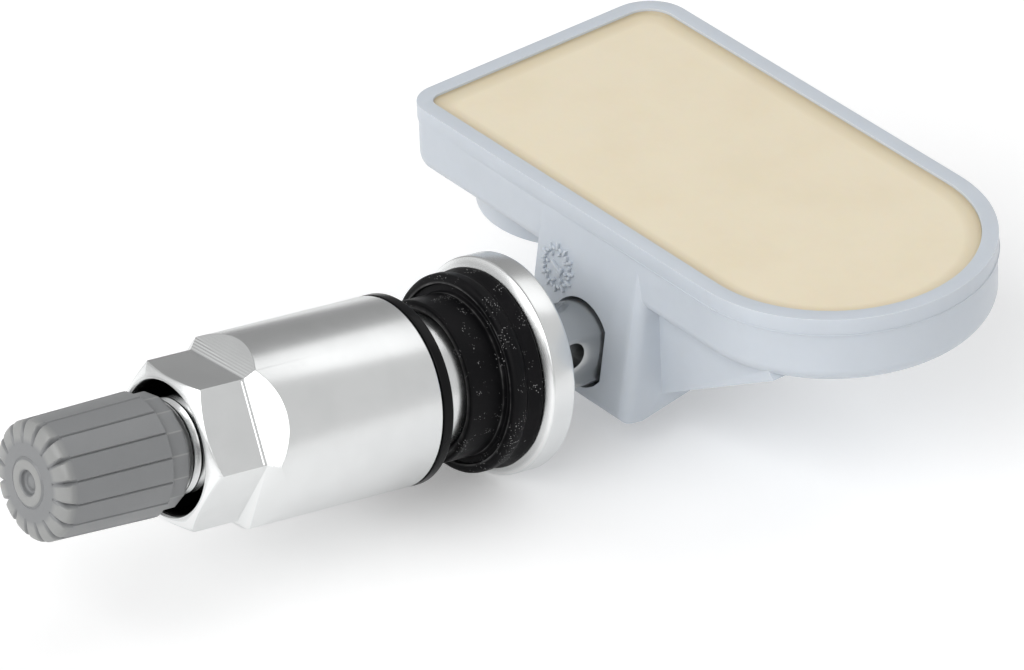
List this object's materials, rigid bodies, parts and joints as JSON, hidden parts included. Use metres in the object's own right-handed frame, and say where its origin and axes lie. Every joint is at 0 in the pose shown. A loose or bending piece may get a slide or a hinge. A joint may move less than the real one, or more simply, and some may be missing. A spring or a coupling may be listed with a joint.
{
  "type": "tyre pressure sensor",
  "caption": "Tyre pressure sensor: D-shaped potted plastic housing screwed to an aluminium clamp-in valve with hex nut, washer, rubber seal and ribbed plastic cap",
  "frame": {"origin": "On the valve axis, in the plane where the rubber seal meets the wheel rim (mount rim_seat)", "axes": "-Y runs along the valve to the tip of the cap, +Y to the housing, X along the housing's long side, +Z out of the valve toward the potted face's side"},
  "size_m": [0.0522, 0.0805, 0.0247],
  "materials": {
    "cap_plastic": "moulded grey plastic, fine satin",
    "soft_rubber": "plain black rubber",
    "satin_aluminium": "turned and milled, satin anodised clear",
    "black_plastic": "smooth black nylon",
    "seal_rubber": "black seal rubber with a slight sheen and specks of dust",
    "core_brass": "turned brass",
    "white_plastic": "plain sealing plastic",
    "spring_steel": "drawn wire",
    "housing_plastic": "light blue-grey moulded nylon, semi-matte",
    "potting_resin": "cured cream potting resin, soft sheen",
    "board_laminate": "green solder mask",
    "cell_steel": "plated steel",
    "tab_nickel": "plated strip",
    "ferrite": "dark sintered ferrite",
    "coil_copper": "enamelled copper wire",
    "chip_plastic": "moulded chip body",
    "capacitor_body": "ceramic chip body",
    "screw_steel": "plated steel screw"
  },
  "bodies": {
    "sensor": {"valve_stem": "satin_aluminium", "grommet": "seal_rubber", "core_body": "core_brass", "core_ring": "white_plastic", "core_spring": "spring_steel", "sensor_housing": "housing_plastic", "potting": "potting_resin", "circuit_board": "board_laminate", "coin_cell": "cell_steel", "cell_tab_plus": "tab_nickel", "cell_tab_minus": "tab_nickel", "coil_core": "ferrite", "coil_winding": "coil_copper", "pressure_chip": "chip_plastic", "chip_seal": "soft_rubber", "timing_crystal": "tab_nickel", "tuning_capacitor": "capacitor_body", "filter_capacitor": "capacitor_body", "radio_antenna": "tab_nickel", "fixing_screw": "screw_steel"},
    "washer": {"nut_washer": "black_plastic"},
    "nut": {"nut": "satin_aluminium"},
    "cap_disc": {"cap_seal": "soft_rubber"},
    "cap": {"valve_cap": "cap_plastic"},
    "core_plunger": {"core_pin": "core_brass", "core_gasket": "soft_rubber"}
  },
  "joints": [
    {"name": "nut_travel", "type": "slide", "parent": "sensor", "child": "washer", "axis": [0, -1, 0], "range_m": [-0.0025, 0.005]},
    {"name": "nut_turn", "type": "hinge", "parent": "washer", "child": "nut", "pos_m": [0, 0, 0], "axis": [0, -1, 0], "range_deg": [-901, 1801]},
    {"name": "cap_travel", "type": "slide", "parent": "sensor", "child": "cap_disc", "axis": [0, -1, 0], "range_m": [0, 0.00715]},
    {"name": "cap_turn", "type": "hinge", "parent": "cap_disc", "child": "cap", "pos_m": [0, 0, 0], "axis": [0, -1, 0], "range_deg": [0, 3241]},
    {"name": "pin_push", "type": "slide", "parent": "sensor", "child": "core_plunger", "axis": [0, 1, 0], "range_m": [0, 0.0008], "stiffness_N_per_m": 800, "springref_m": -0.002}
  ],
  "couplings": [
    {"joint": "nut_turn", "follows": "nut_travel", "rad_per_m": 6283.2},
    {"joint": "cap_turn", "follows": "cap_travel", "rad_per_m": 7913.3}
  ]
}
